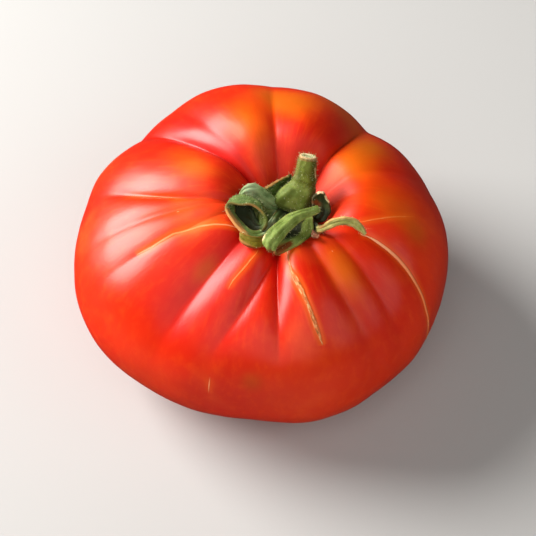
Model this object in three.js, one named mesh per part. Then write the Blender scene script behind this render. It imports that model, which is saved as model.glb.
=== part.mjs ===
// A ripe beefsteak tomato as picked: a ribbed fruit, its cut stalk, the calyx plate and eight curled sepals.
// Millimetres, +Z up. The fruit stands on the flat of its lobes at z = 0.
import * as THREE from 'three';
import { mergeVertices } from 'three/addons/utils/BufferGeometryUtils.js';

// ---- Driving dimensions of the fruit ----
const WIDEST_HEIGHT = 27.5; // height of the fruit's widest girdle
const TOP_FULLNESS = 2.35; // superellipse power above the girdle, 2 is a plain ellipse
const BASE_FULLNESS = 2.25; // the same below the girdle
const BASE_PRESS = 1.065; // how far the underside would pass below the table before it is flattened
const CAVITY_DEPTH = 14.5; // stalk cavity, measured down from the shoulders
const CAVITY_RADIUS = 14;
const CAVITY_STEEPNESS = 2.8;
const CAVITY_CENTRE = [2, 0.8];
const CAVITY_FLOOR_RADIUS = 12; // inside it the shoulders' heights ease into one
const SHOULDER_HEIGHT = 61; // that common height
const SCAR_DEPTH = 1.6; // dimple of the blossom scar
const SCAR_RADIUS = 4.5;
const MEAN_RADIUS = 50;
const VALLEY_ROUNDING = 1.5; // degrees over which the bottom of a valley is rounded
const CREASE_ROUNDING = 0.3;
const COLUMNS = 104; // facets around the fruit
const ROWS = 32; // facets from stalk to blossom scar

// Lobes: [azimuth in degrees, radius, shoulder height]
const LOBES = [
  [0, 47.8, 60], [33, 47.8, 61], [72, 53.1, 63.6], [88, 55.2, 63.8], [118, 59, 64], [157, 59.1, 62],
  [175, 58.1, 61.2], [192, 58.9, 61], [207, 58, 61], [222, 55.6, 61], [242, 52.9, 61], [260, 50.3, 61],
  [280, 50.9, 61], [292, 50.5, 61], [304, 49.5, 61], [323, 48.5, 60], [343, 47.2, 60],
];

// Valleys between lobes: azimuth and its drift towards the girdle, depth and width of the valley,
// depth and width of the sharp crease in it, the share of the depth left at the girdle, and the
// share of the way down where the valley begins to fade
const VALLEYS = [
  { azimuth: 50, drift: 15, depth: 5.1, width: 9, crease: 1.2, creaseWidth: 2, girdle: 0.3, fade: 0.26 },
  { azimuth: 94, drift: -3, depth: 2.4, width: 8, crease: 0.3, creaseWidth: 2, girdle: 0.2, fade: 0.12 },
  { azimuth: 129, drift: -4, depth: 1.5, width: 5, crease: 0, creaseWidth: 2, girdle: 0.3, fade: 0.2 },
  { azimuth: 139, drift: 2, depth: 5.6, width: 9, crease: 1.6, creaseWidth: 2, girdle: 0.4, fade: 0.26 },
  { azimuth: 183, drift: -28, depth: 1.1, width: 5, crease: 0.8, creaseWidth: 1.6, girdle: 0.2, fade: 0.26 },
  { azimuth: 193, drift: -7, depth: 0.9, width: 5, crease: 0.3, creaseWidth: 1.6, girdle: 0.25, fade: 0.26 },
  { azimuth: 207, drift: -8, depth: 0.8, width: 6, crease: 0.2, creaseWidth: 1.6, girdle: 0.1, fade: 0.26 },
  { azimuth: 234, drift: -8, depth: 4.8, width: 12, crease: 0.2, creaseWidth: 2.5, girdle: 0.08, fade: 0.26 },
  { azimuth: 259.5, drift: -32, depth: 2, width: 5, crease: 0.5, creaseWidth: 2, girdle: 0.05, fade: 0.2 },
  { azimuth: 268.2, drift: 4, depth: 3.8, width: 6, crease: 0.9, creaseWidth: 1.6, girdle: 0, fade: 0.16 },
  { azimuth: 296.5, drift: 14, depth: 2.8, width: 8, crease: 0.2, creaseWidth: 2, girdle: 0.2, fade: 0.26 },
  { azimuth: 313.5, drift: 0, depth: 2.4, width: 7, crease: 0.2, creaseWidth: 2, girdle: 0.2, fade: 0.26 },
  { azimuth: 331, drift: -4, depth: 1.8, width: 6, crease: 0.3, creaseWidth: 1.6, girdle: 0.25, fade: 0.26 },
  { azimuth: 0, drift: 0, depth: 0.6, width: 6, crease: 0, creaseWidth: 1.6, girdle: 0.4, fade: 0.26 },
  { azimuth: 19, drift: 0, depth: 1.2, width: 7, crease: 0, creaseWidth: 2, girdle: 0.4, fade: 0.26 },
];

// ---- Driving dimensions of the stalk and sepals, from the fruit's stalk axis ----
// Stalk: [x, y, z] of its centre line, then its radius across and its radius front to back
const STALK = [
  { centre: [2.7, 0.5, 50], across: 5.1, deep: 2.6 },
  { centre: [2.7, 0.3, 51.4], across: 5.4, deep: 2.7 },
  { centre: [3, 0.1, 52.8], across: 5.1, deep: 2.85 },
  { centre: [3.9, 0.7, 54.2], across: 4.3, deep: 3 },
  { centre: [5, 1.8, 55.6], across: 3.7, deep: 3.05 },
  { centre: [6, 2.8, 57], across: 3.2, deep: 2.9 },
  { centre: [6.6, 3.8, 58.4], across: 2.88, deep: 2.8 },
  { centre: [6.8, 4.7, 59.9], across: 2.75, deep: 2.7 },
  { centre: [7, 5.6, 61.5], across: 2.62, deep: 2.6 },
  { centre: [7.3, 6.6, 63.2], across: 2.3, deep: 2.3 },
];
const STALK_SIDES = 16;
const STALK_STEPS = 12;
const STALK_FOOT_STEPS = 2; // steps over which the foot turns from level to square with the stalk

// Calyx plate, which the sepals and the stalk grow from: [azimuth, reach]
const PLATE_REACH = [
  [0, 12], [15, 11.5], [40, 8], [90, 7], [130, 7.5], [160, 8.5], [187, 12.5], [205, 13.6], [228, 13.2],
  [250, 9.5], [265, 9], [280, 10.5], [297, 11], [310, 10.5], [325, 10.5], [340, 12],
];
const PLATE_GAP = 1.5; // between the plate and the skin, clear of the skin's flat facets
const PLATE_THICKNESS = 0.7;
const PLATE_BOSS_TOP = 49.6; // the plate swells to just under the stalk's foot
const PLATE_BOSS_WIDTH = 4.5;
const PLATE_SIDES = 32;
const PLATE_RINGS = 12;

// Sepals: stations from foot to tip, each [centre, half width vector, edge lift]
const SEPAL_THICKNESS = 0.8;
const SEPAL_TIP_SHARE = 0.55; // share of the thickness left at the tip
const STEPS_PER_STATION = 2;
const SEPAL_STRIPS = 4; // facets across a sepal
const SEPALS = {
  sepal_front_roll: [
    [[7, -5.8, 52.6], [1.4, 0.3, 0.4], 0.2],
    [[5.8, -9.7, 54.6], [3.1, -0.5, 0.2], 0.5],
    [[5.2, -13.2, 56.1], [3, -1, -0.2], 0.6],
    [[4.2, -15.3, 57], [2.1, -1.5, -0.6], 0.6],
    [[2.6, -17.3, 57.6], [1.5, -1.6, -0.8], 0.5],
    [[0.7, -19.1, 57.6], [1.1, -1.4, -0.6], 0.5],
    [[-1.5, -20.9, 57.6], [0.9, -1.2, -0.4], 0.5],
    [[-2.9, -21.3, 58.2], [1.3, -1.1, -0.3], 0.7],
    [[-3.1, -20.3, 59.3], [1.7, -1.2, -0.5], 0.9],
    [[-2, -18.7, 60.3], [1.7, -1.2, -0.6], 1],
    [[-0.4, -17.1, 61], [1.5, -1.2, -0.7], 1],
    [[1.4, -15.2, 61.3], [1.3, -1.1, -0.7], 1],
    [[3.4, -13, 61.2], [1.1, -1, -0.7], 0.9],
    [[5.5, -11.2, 60.6], [0.8, -0.8, -0.6], 0.7],
    [[7.4, -9.9, 59.8], [0.6, -0.6, -0.5], 0.5],
    [[9.1, -8.6, 59.1], [0.4, -0.4, -0.3], 0.3],
    [[10.2, -7.6, 58.7], [0.2, -0.3, -0.2], 0.1],
  ],
  sepal_left_loop: [
    [[-2.9, -7.6, 53.6], [0.9, -1.6, -0.1], 0.1],
    [[-4.2, -12.9, 56.3], [0.5, -1.3, 0.1], 0.2],
    [[-6.4, -15.2, 57.1], [0, -1.5, 0.1], 0.3],
    [[-8.5, -15.3, 57.7], [-0.5, -1.4, 0.6], 0.4],
    [[-10.7, -13.4, 58.2], [-0.9, -1, 1.1], 0.4],
    [[-13.1, -10.1, 59], [-1, -0.8, 1.4], 0.4],
    [[-13.6, -8.3, 60], [-1.1, -0.9, 1.5], 0.5],
    [[-13, -6.7, 61], [-0.3, -1.7, 1], 0.5],
    [[-10.7, -6.8, 61.6], [0.1, -2.2, 0.7], 0.5],
    [[-7.6, -7.3, 61.8], [-0.1, -2.1, 0.8], 0.4],
    [[-5, -8.8, 60.8], [-0.2, -1.7, 0.8], 0.4],
    [[-4.5, -11.1, 59.2], [1.2, -1.3, 1], 0.4],
    [[-4.8, -12.6, 58.2], [1.1, -1.3, 0.7], 0.4],
  ],
  sepal_left_arch: [
    [[-2.9, -1.8, 53.4], [0.7, 0.9, 0.7], 0.1],
    [[-4.1, -1.6, 55.1], [0.9, 1, 0.9], 0.3],
    [[-5.6, -1, 56.8], [1, 1.2, 1.1], 0.4],
    [[-7.4, -0.7, 58], [0.7, 1.3, 1.1], 0.4],
    [[-9, -1.2, 58.3], [0.1, 1.3, 1.1], 0.4],
    [[-10.1, -1.6, 57.6], [-0.3, 1, 0.9], 0.3],
    [[-10.7, -2.4, 56.5], [-0.4, 0.6, 0.5], 0.2],
  ],
  sepal_back_cup: [
    [[2.7, 6.6, 53.6], [0.1, 1, 1.5], -0.3],
    [[0.9, 5.7, 54.5], [-0.1, 1.2, 1.5], -0.5],
    [[-0.9, 4.4, 55.2], [-0.2, 1.2, 1.5], -0.7],
    [[-2.4, 2.7, 55.7], [-0.3, 0.9, 1.3], -0.7],
    [[-3.6, 1.9, 56.2], [-0.3, 0.5, 0.8], -0.5],
    [[-4.6, 1.4, 56.6], [-0.1, 0.2, 0.3], -0.2],
  ],
  sepal_right_curl: [
    [[10.2, -5.2, 52.4], [1.3, -0.7, -0.6], -0.1],
    [[10.9, -4.1, 53.4], [2.3, -0.5, -0.8], -0.5],
    [[10.8, -2.6, 54.4], [2.5, -0.2, -0.6], -0.8],
    [[10.6, -1.4, 55.6], [2.1, -0.1, -0.4], -0.8],
    [[10.6, -1, 56.6], [1.4, 0, -0.2], -0.5],
    [[10.9, -0.7, 57.4], [0.6, 0, 0], -0.2],
  ],
  sepal_right_arch: [
    [[9.2, -10.8, 54.3], [0.7, 0.5, 0.8], 0.1],
    [[10.5, -12.7, 56.1], [0.5, 0.6, 0.9], 0.3],
    [[12, -12.9, 57.6], [0.2, 0.7, 0.9], 0.3],
    [[14.2, -12.7, 59], [-0.1, 0.7, 0.9], 0.3],
    [[16.7, -12.7, 59.7], [-0.1, 0.6, 0.9], 0.3],
    [[19, -13, 59.3], [0.4, 0.7, 0.8], 0.3],
    [[20.9, -13.9, 58.2], [0.5, 0.5, 0.5], 0.2],
    [[22.3, -15.1, 56.9], [0.3, 0.2, 0.2], 0.1],
  ],
  sepal_left_flap: [
    [[-4.1, -16.9, 56.9], [0.1, -1, -0.4], 0],
    [[-5.8, -18.2, 57.5], [0, -1.1, -0.5], 0.1],
    [[-7.4, -18.6, 57.9], [0, -1.2, -0.5], 0.2],
    [[-9, -18.3, 58.1], [0, -1.2, -0.4], 0.2],
    [[-10.1, -17.5, 58.3], [-0.1, -1, -0.3], 0.2],
    [[-10.8, -16.7, 58.4], [-0.1, -0.7, -0.2], 0.1],
  ],
  sepal_dry_shred: [
    [[9.3, -14.3, 56.4], [0.4, 0.3, 0.3], 0.1],
    [[9.5, -16, 57.4], [0.5, 0.2, 0.3], 0.2],
    [[10.2, -16.5, 57.8], [0.2, 0.3, 0.4], 0.1],
  ],
};

// ---- Finishes ----
const FINISHES = {
  skin: { color: 0xd62a12, roughness: 0.35, metalness: 0 },
  stalk: { color: 0x7d9444, roughness: 0.7, metalness: 0 },
  sepal: { color: 0x5f7f3c, roughness: 0.75, metalness: 0 },
  dry: { color: 0xc9a57c, roughness: 0.9, metalness: 0 },
};

const material = (finish) => new THREE.MeshStandardMaterial(FINISHES[finish]);

// ---- Small helpers ----
const radians = THREE.MathUtils.degToRad;
const ease = (x) => THREE.MathUtils.smoothstep(x, 0, 1);
const turnBetween = (from, to) => THREE.MathUtils.euclideanModulo(to - from + 180, 360) - 180;
const curveThrough = (points) =>
  new THREE.CatmullRomCurve3(points.map((point) => new THREE.Vector3(...point)), false, 'catmullrom', 0.5);

// Value in a table's column at an azimuth, its first column, on a smooth curve through the rows
function around(table, azimuth, column) {
  const next = Math.max(table.findIndex((row) => row[0] > azimuth), 0);
  const rows = [-2, -1, 0, 1].map((step) => table.at((next + step) % table.length));
  const gaps = [0, 1, 2].map((i) => THREE.MathUtils.euclideanModulo(rows[i + 1][0] - rows[i][0], 360));
  const slopes = [0, 1].map((i) => (rows[i + 2][column] - rows[i][column]) / (gaps[i] + gaps[i + 1]));
  const f = THREE.MathUtils.euclideanModulo(azimuth - rows[1][0], 360) / gaps[1];
  const swing = f * (1 - f) * gaps[1] * (slopes[0] * (1 - f) - slopes[1] * f);
  return THREE.MathUtils.lerp(rows[1][column], rows[2][column], ease(f)) + swing;
}

// How far the skin is drawn in by the valleys at an azimuth and a share of the way down
function valleyDepth(azimuth, down, reach) {
  let total = 0;
  for (const valley of VALLEYS) {
    const middle = valley.azimuth + valley.drift * (reach - 0.6);
    const off = Math.abs(turnBetween(middle, azimuth));
    const soft = Math.hypot(off, VALLEY_ROUNDING) - VALLEY_ROUNDING;
    const sharp = Math.hypot(off, CREASE_ROUNDING) - CREASE_ROUNDING;
    const opening = ease(reach / 0.36);
    const atGirdle = 1 - (1 - valley.girdle) * ease((down - valley.fade) / 0.26);
    const underneath = 1 - 0.6 * ease((down - 0.55) / 0.4);
    const bowl = 0.65 * Math.exp(-soft / valley.width) + 0.35 * Math.exp(-((off / (2 * valley.width)) ** 2));
    const creaseShare = ease(reach / 0.3) * (1 - ease((down - 0.2) / 0.2));
    total += valley.depth * opening * atGirdle * underneath * bowl;
    total += valley.crease * creaseShare * Math.exp(-sharp / valley.creaseWidth);
  }
  return total;
}

// Point of the skin: azimuth in degrees, down from 0 at the stalk to 1 at the blossom scar
function skinPoint(azimuth, down) {
  const slope = Math.max(Math.sin(Math.PI * down), 0);
  const rise = Math.cos(Math.PI * down);
  const above = rise >= 0;
  const power = 2 / (above ? TOP_FULLNESS : BASE_FULLNESS);
  const plump = Math.abs(rise) ** power;
  let radius = around(LOBES, azimuth, 1) * slope ** power;
  let height = WIDEST_HEIGHT * (1 - BASE_PRESS * plump);
  const unit = [Math.cos(radians(azimuth)), Math.sin(radians(azimuth))];
  if (above) {
    const ownShare = ease(radius / CAVITY_FLOOR_RADIUS);
    const shoulder = THREE.MathUtils.lerp(SHOULDER_HEIGHT, around(LOBES, azimuth, 2), ownShare);
    height = WIDEST_HEIGHT + (shoulder - WIDEST_HEIGHT) * plump;
    const off = Math.hypot(radius * unit[0] - CAVITY_CENTRE[0], radius * unit[1] - CAVITY_CENTRE[1]);
    height -= CAVITY_DEPTH * Math.exp(-((off / CAVITY_RADIUS) ** CAVITY_STEEPNESS));
  }
  const depth = valleyDepth(azimuth, down, radius / MEAN_RADIUS);
  radius -= depth * slope;
  height = Math.max(height - depth * rise, 0);
  if (!above) height += SCAR_DEPTH * Math.exp(-((radius / SCAR_RADIUS) ** 4));
  return new THREE.Vector3(radius * unit[0], radius * unit[1], height);
}

// Azimuth in degrees of a point of a three.js ball, whose axis is its own y
function azimuthOf(point) {
  const turn = THREE.MathUtils.radToDeg(Math.atan2(-point.z, point.x));
  return Number(THREE.MathUtils.euclideanModulo(turn, 360).toFixed(6)) % 360;
}

// Moves every vertex of a closed three.js shape and leaves one closed body
function reshape(geometry, move) {
  geometry.deleteAttribute('normal');
  geometry.deleteAttribute('uv');
  const places = geometry.attributes.position;
  for (let i = 0; i < places.count; i += 1) {
    const moved = move(new THREE.Vector3().fromBufferAttribute(places, i));
    places.setXYZ(i, moved.x, moved.y, moved.z);
  }
  const closed = mergeVertices(geometry);
  closed.computeVertexNormals();
  return closed;
}

// ---- Fruit ----
function fruit() {
  const ball = new THREE.SphereGeometry(1, COLUMNS, ROWS);
  const shape = reshape(ball, (point) => {
    const down = Math.acos(THREE.MathUtils.clamp(point.y, -1, 1)) / Math.PI;
    return skinPoint(azimuthOf(point), Number(down.toFixed(9)));
  });
  const mesh = new THREE.Mesh(shape, material('skin'));
  mesh.name = 'fruit';
  return mesh;
}

// ---- Calyx plate: a ball flattened onto the floor of the stalk cavity ----
function calyxPlate() {
  const ball = new THREE.SphereGeometry(1, PLATE_SIDES, PLATE_RINGS);
  const boss = new THREE.Vector3(...STALK[0].centre);
  const shape = reshape(ball, (point) => {
    const azimuth = azimuthOf(point);
    const reach = Math.hypot(point.x, point.z) * around(PLATE_REACH, azimuth, 1);
    const down = Math.asin((reach / around(LOBES, azimuth, 1)) ** (TOP_FULLNESS / 2)) / Math.PI;
    const place = skinPoint(azimuth, down);
    place.z += PLATE_GAP;
    const off = Math.hypot(place.x - boss.x, place.y - boss.y);
    const swell = (PLATE_BOSS_TOP - place.z) * Math.exp(-((off / PLATE_BOSS_WIDTH) ** 4));
    place.z += Math.max(PLATE_THICKNESS, swell) * Math.sqrt(Math.max(point.y, 0));
    return place;
  });
  const mesh = new THREE.Mesh(shape, material('sepal'));
  mesh.name = 'calyx_plate';
  return mesh;
}

// ---- Stalk: a cylinder bent along its centre line, with a broad foot ----
function stalk() {
  const line = curveThrough(STALK.map((station) => station.centre));
  const radii = curveThrough(STALK.map((station) => [station.across, station.deep, 0]));
  const level = new THREE.Vector3(0, 0, 1);
  const bar = new THREE.CylinderGeometry(1, 1, 1, STALK_SIDES, STALK_STEPS);
  const shape = reshape(bar, (point) => {
    const along = point.y + 0.5;
    const centre = line.getPoint(along);
    const radius = radii.getPoint(along);
    const axis = line.getTangent(Math.max(along, 0.2));
    axis.lerp(level, 1 - ease((along * STALK_STEPS) / STALK_FOOT_STEPS / 2)).normalize();
    const side = new THREE.Vector3(0, 1, 0).cross(axis).normalize();
    const back = new THREE.Vector3().crossVectors(axis, side);
    centre.addScaledVector(side, point.x * radius.x);
    return centre.addScaledVector(back, -point.z * radius.y);
  });
  const mesh = new THREE.Mesh(shape, material('stalk'));
  mesh.name = 'stalk';
  return mesh;
}

// ---- Sepal: a thin board bent through its stations ----
function sepal(name, stations) {
  const line = curveThrough(stations.map((station) => station[0]));
  const widths = curveThrough(stations.map((station) => station[1]));
  const lifts = curveThrough(stations.map((station) => [station[2], 0, 0]));
  const steps = (stations.length - 1) * STEPS_PER_STATION;
  const board = new THREE.BoxGeometry(1, 1, 1, SEPAL_STRIPS, 1, steps);
  const shape = reshape(board, (point) => {
    const along = point.z + 0.5;
    const across = point.x * 2;
    const width = widths.getPoint(along);
    const ahead = line.getTangent(along);
    const up = new THREE.Vector3().crossVectors(ahead, width).normalize();
    const thickness = SEPAL_THICKNESS * THREE.MathUtils.lerp(1, SEPAL_TIP_SHARE, along);
    const lift = lifts.getPoint(along).x * across ** 2 + point.y * thickness;
    return line.getPoint(along).addScaledVector(width, across).addScaledVector(up, lift);
  });
  const mesh = new THREE.Mesh(shape, material(name === 'sepal_dry_shred' ? 'dry' : 'sepal'));
  mesh.name = name;
  return mesh;
}

// ---- Tomato: its origin is under the middle of the fruit's box ----
const tomato = new THREE.Group();
tomato.add(fruit(), calyxPlate(), stalk());
for (const [name, stations] of Object.entries(SEPALS)) tomato.add(sepal(name, stations));
const middle = new THREE.Box3().setFromObject(tomato, true).getCenter(new THREE.Vector3());
tomato.position.set(-middle.x, -middle.y, 0);

export default tomato;
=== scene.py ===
import math
import random

import bmesh
import bpy
import numpy as np
from mathutils import Matrix, Vector, noise


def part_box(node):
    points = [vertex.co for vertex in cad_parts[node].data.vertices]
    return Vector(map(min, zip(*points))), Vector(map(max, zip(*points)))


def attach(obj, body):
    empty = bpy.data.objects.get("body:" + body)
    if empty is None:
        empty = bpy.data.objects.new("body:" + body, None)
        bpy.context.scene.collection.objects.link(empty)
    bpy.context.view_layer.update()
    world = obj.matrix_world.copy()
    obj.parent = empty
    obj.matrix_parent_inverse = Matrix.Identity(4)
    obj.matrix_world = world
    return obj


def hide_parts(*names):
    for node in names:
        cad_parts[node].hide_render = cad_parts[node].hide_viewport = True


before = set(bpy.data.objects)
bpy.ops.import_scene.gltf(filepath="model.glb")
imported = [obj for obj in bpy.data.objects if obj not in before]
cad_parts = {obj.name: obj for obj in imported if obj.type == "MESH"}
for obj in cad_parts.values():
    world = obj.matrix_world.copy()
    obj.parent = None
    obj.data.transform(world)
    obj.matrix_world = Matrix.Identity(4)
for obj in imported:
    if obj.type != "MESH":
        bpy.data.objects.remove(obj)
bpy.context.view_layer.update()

MM = 0.001

# ---------------------------------------------------------------- the fruit's form, in millimetres
# Everything is measured from the stalk axis; azimuths are degrees, 270 is the front. "Down" is the
# share of the way from the stalk (0) over the shoulder to the blossom scar (1).
WIDEST_HEIGHT = 27.5  # of the girdle
TOP_FULLNESS = 2.35  # superellipse power above the girdle, 2 is a plain ellipse
BASE_FULLNESS = 2.25  # the same below the girdle
BASE_PRESS = 1.065  # how far the underside would pass below the floor before it is flattened
CAVITY_DEPTH = 14.5  # of the stalk cavity, from the shoulders
CAVITY_RADIUS = 14
CAVITY_STEEPNESS = 2.8
CAVITY_CENTRE = (2, 0.8)
CAVITY_FLOOR_RADIUS = 12  # inside it the shoulders' heights ease into one, and lumps die out
SHOULDER_HEIGHT = 61  # that common height
SCAR_DEPTH = 1.6  # dimple of the blossom scar
SCAR_RADIUS = 4.5
MEAN_RADIUS = 50

VALLEY_ROUNDING = 1.5  # degrees over which the bottom of a valley is rounded
CREASE_ROUNDING = 0.3
VALLEY_OPEN = 0.36  # share of the mean radius by which a valley has its full depth
CREASE_OPEN = 0.3
VALLEY_PLACED = 0.6  # share of the mean radius at which a valley stands at its own azimuth
VALLEY_SHARPNESS = 0.65  # share of a valley that is a sharp notch, the rest is a wide bowl
VALLEY_FADE = 0.26  # stretch of down over which a valley fades to its depth at the girdle
VALLEY_WIDTHS = 6  # widths from its middle at which a valley has no more effect
UNDERSIDE_START = 0.55  # down from which the valleys calm under the fruit, and the stretch of it
UNDERSIDE_FADE = 0.4
UNDERSIDE_CALMING = 0.6  # share of a valley's depth that is lost under the fruit
CREASE_END = 0.2  # down at which the creases begin to end, and the stretch that they take
CREASE_FADE = 0.2
FULL_VALLEY_SHADE = 5  # depth of a valley that gets the painted valley shade in full

ARC_PER_DOWN = 120  # length of the skin from stalk to blossom scar
BROAD_LUMPS = 0.3  # heights of the skin's broad and small lumps
SMALL_LUMPS = 0.1
RESTING_HEIGHT = 0.2  # the flat spot has no lumps, and they grow over the next millimetres above it
RESTING_FADE = 3
WELD = 0.005  # points closer than this are one
STALK_WELD = 0.01

# Lobes: azimuth, radius, shoulder height
LOBES = (
    (0, 47.8, 60), (33, 47.8, 61), (72, 53.1, 63.6), (88, 55.2, 63.8), (118, 59, 64), (157, 59.1, 62),
    (175, 58.1, 61.2), (192, 58.9, 61), (207, 58, 61), (222, 55.6, 61), (242, 52.9, 61), (260, 50.3, 61),
    (280, 50.9, 61), (292, 50.5, 61), (304, 49.5, 61), (323, 48.5, 60), (343, 47.2, 60),
)

# Valleys: azimuth, drift towards the girdle, depth, width, depth and width of the crease in it,
# the share of the depth left at the girdle, and how far down the valley begins to fade
VALLEYS = (
    (50, 15, 5.1, 9, 1.2, 2, 0.3, 0.26),
    (94, -3, 2.4, 8, 0.3, 2, 0.2, 0.12),
    (129, -4, 1.5, 5, 0, 2, 0.3, 0.2),
    (139, 2, 5.6, 9, 1.6, 2, 0.4, 0.26),
    (183, -28, 1.1, 5, 0.8, 1.6, 0.2, 0.26),
    (193, -7, 0.9, 5, 0.3, 1.6, 0.25, 0.26),
    (207, -8, 0.8, 6, 0.2, 1.6, 0.1, 0.26),
    (234, -8, 4.8, 12, 0.2, 2.5, 0.08, 0.26),
    (259.5, -32, 2, 5, 0.5, 2, 0.05, 0.2),
    (268.2, 4, 3.8, 6, 0.9, 1.6, 0, 0.16),
    (296.5, 14, 2.8, 8, 0.2, 2, 0.2, 0.26),
    (313.5, 0, 2.4, 7, 0.2, 2, 0.2, 0.26),
    (331, -4, 1.8, 6, 0.3, 1.6, 0.25, 0.26),
    (0, 0, 0.6, 6, 0, 1.6, 0.4, 0.26),
    (19, 0, 1.2, 7, 0, 2, 0.4, 0.26),
)

# Growth cracks and healed lines. Kinds: cork, olive rim, orange halo, height of the ridge
CRACK_KINDS = {
    "cork": (1, 0.15, 0.5, 0.08),
    "ribbon": (0, 0.2, 0.3, 0.15),
    "line": (0, 0, 0.5, 0.05),
    "faint": (0, 0, 0.35, 0.03),
    "nick": (0, 0, 0.2, 0.05),
}
# Cracks: kind, then stations of down, azimuth, half width and paleness
CRACKS = (
    ("cork", ((0.114, 275.1, 0.12, 1), (0.144, 275.5, 0.16, 1), (0.155, 276, 0.3, 0.9),
              (0.166, 276.8, 0.5, 0.8), (0.177, 278, 0.62, 0.75), (0.199, 279.7, 0.6, 0.55),
              (0.223, 281, 0.45, 0.3), (0.246, 282, 0.45, 0.3), (0.265, 282.6, 0.5, 0.35),
              (0.285, 283.1, 0.5, 0.35), (0.305, 283.6, 0.35, 0.4), (0.323, 284.1, 0.15, 0.5))),
    ("ribbon", ((0.165, 328.6, 0.16, 1), (0.175, 330.2, 0.22, 1), (0.187, 330.9, 0.27, 1),
                (0.203, 331.2, 0.34, 0.9), (0.233, 331.4, 0.36, 0.7), (0.268, 331.4, 0.38, 0.5),
                (0.307, 330.9, 0.4, 0.4), (0.346, 330, 0.42, 0.3), (0.384, 329.2, 0.44, 0.25),
                (0.424, 328.2, 0.42, 0.2), (0.477, 328, 0.36, 0.2), (0.55, 329, 0.14, 0.1))),
    ("line", ((0.083, 227.7, 0.12, 0.6), (0.088, 221.4, 0.16, 0.5), (0.105, 214.7, 0.24, 0.3),
              (0.123, 210.3, 0.3, 0.2), (0.146, 208, 0.26, 0.15), (0.166, 206, 0.24, 0.15),
              (0.188, 205.8, 0.22, 0.3), (0.214, 205.7, 0.2, 0.4), (0.244, 204.6, 0.1, 0.4))),
    ("faint", ((0.146, 335.4, 0.12, 0), (0.171, 340.9, 0.16, 0), (0.198, 346.1, 0.16, 0),
               (0.223, 349.8, 0.14, 0), (0.244, 352.2, 0.1, 0), (0.265, 354.4, 0.06, 0))),
    ("faint", ((0.123, 253.3, 0.1, 0), (0.139, 251.1, 0.2, 0), (0.157, 249.3, 0.2, 0),
               (0.173, 247.5, 0.18, 0), (0.189, 246, 0.14, 0), (0.205, 245.5, 0.08, 0))),
    ("faint", ((0.119, 188, 0.04, 0), (0.133, 186, 0.07, 0), (0.152, 183, 0.08, 0),
               (0.185, 180, 0.08, 0), (0.216, 178, 0.08, 0), (0.235, 177, 0.07, 0),
               (0.261, 176, 0.04, 0))),
    ("nick", ((0.431, 248.4, 0.06, 0.5), (0.45, 248.4, 0.15, 0.6), (0.473, 248.4, 0.06, 0.5))),
    ("nick", ((0.146, 304.5, 0, 0.9), (0.147, 304.5, 0.14, 0.9), (0.148, 304.5, 0, 0.9))),
    ("nick", ((0.142, 194.4, 0, 0.8), (0.143, 194.4, 0.12, 0.8), (0.144, 194.4, 0, 0.8))),
    ("nick", ((0.263, 259.3, 0, 0.6), (0.264, 259.3, 0.12, 0.6), (0.265, 259.3, 0, 0.6))),
    ("nick", ((0.339, 233.2, 0, 0.6), (0.34, 233.2, 0.12, 0.6), (0.341, 233.2, 0, 0.6))),
)
CRACK_REACH = 3.0  # distance beyond which a crack isn't looked for
CRACK_SURROUND = 1.7  # distance from a crack that has its colours, which fade over one more millimetre
CRACK_TAPER = 0.012  # stretch of down over which a crack runs out past its ends
GROOVE_REACH = 0.8  # a crack's relief ends this far past three half widths
CORK_FIBRES = 0.2  # height of the fibres in the cork
CORK_GROOVE = 0.08  # depth of the groove along either side of the cork
LINE_GROOVE = 0.4  # the same for the other kinds, as a share of their height

# Patches that ripened late: azimuth, down, half width in degrees, half length in down, orange, olive
PATCHES = (
    (166, 0.11, 9, 0.035, 0.4, 0.5), (157, 0.15, 10, 0.05, 0.35, 0), (191, 0.135, 8, 0.05, 0.3, 0),
    (230, 0.185, 5, 0.04, 0.35, 0.5), (303.8, 0.19, 8, 0.05, 0.6, 0.35), (304, 0.27, 7, 0.06, 0.2, 0),
    (26, 0.14, 13, 0.05, 0.6, 0.3), (356, 0.2, 11, 0.07, 0.55, 0.2), (346.5, 0.283, 6, 0.045, 0.2, 0.4),
    (80, 0.18, 10, 0.055, 0.55, 0.5), (112, 0.13, 12, 0.06, 0.55, 0), (95, 0.222, 9, 0.05, 0.5, 0.5),
    (38, 0.22, 11, 0.06, 0.45, 0.7), (261, 0.425, 4, 0.03, 0.15, 0.5), (211, 0.125, 6, 0.05, 0.45, 0),
    (62, 0.3, 14, 0.07, 0.45, 0.4), (246, 0.17, 5, 0.06, 0.3, 0), (279, 0.115, 5, 0.012, 0.5, 0.3),
)
PATCH_SPREAD = 1.6  # the larger it is, the further a patch fades out

COLUMNS = 460
ROWS = 190
# Where the fruit's columns and rows are closer: middle, half width, boost
CROWDED_AZIMUTHS = (
    (280, 6, 4), (330, 4, 4), (208, 6, 2), (268, 3, 2), (139, 4, 2), (50, 4, 1.5), (248, 4, 1.5),
    (181, 6, 1), (346, 8, 1),
)
CROWDED_DOWNS = ((0.22, 0.13, 1), (1, 0.08, 2))
SKIN_MARKS = (
    "valley_shade", "orange", "olive", "crack_off", "crack_half", "crack_run", "crack_near", "crack_cork",
    "crack_pale", "crack_rim", "crack_halo", "down",
)

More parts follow.
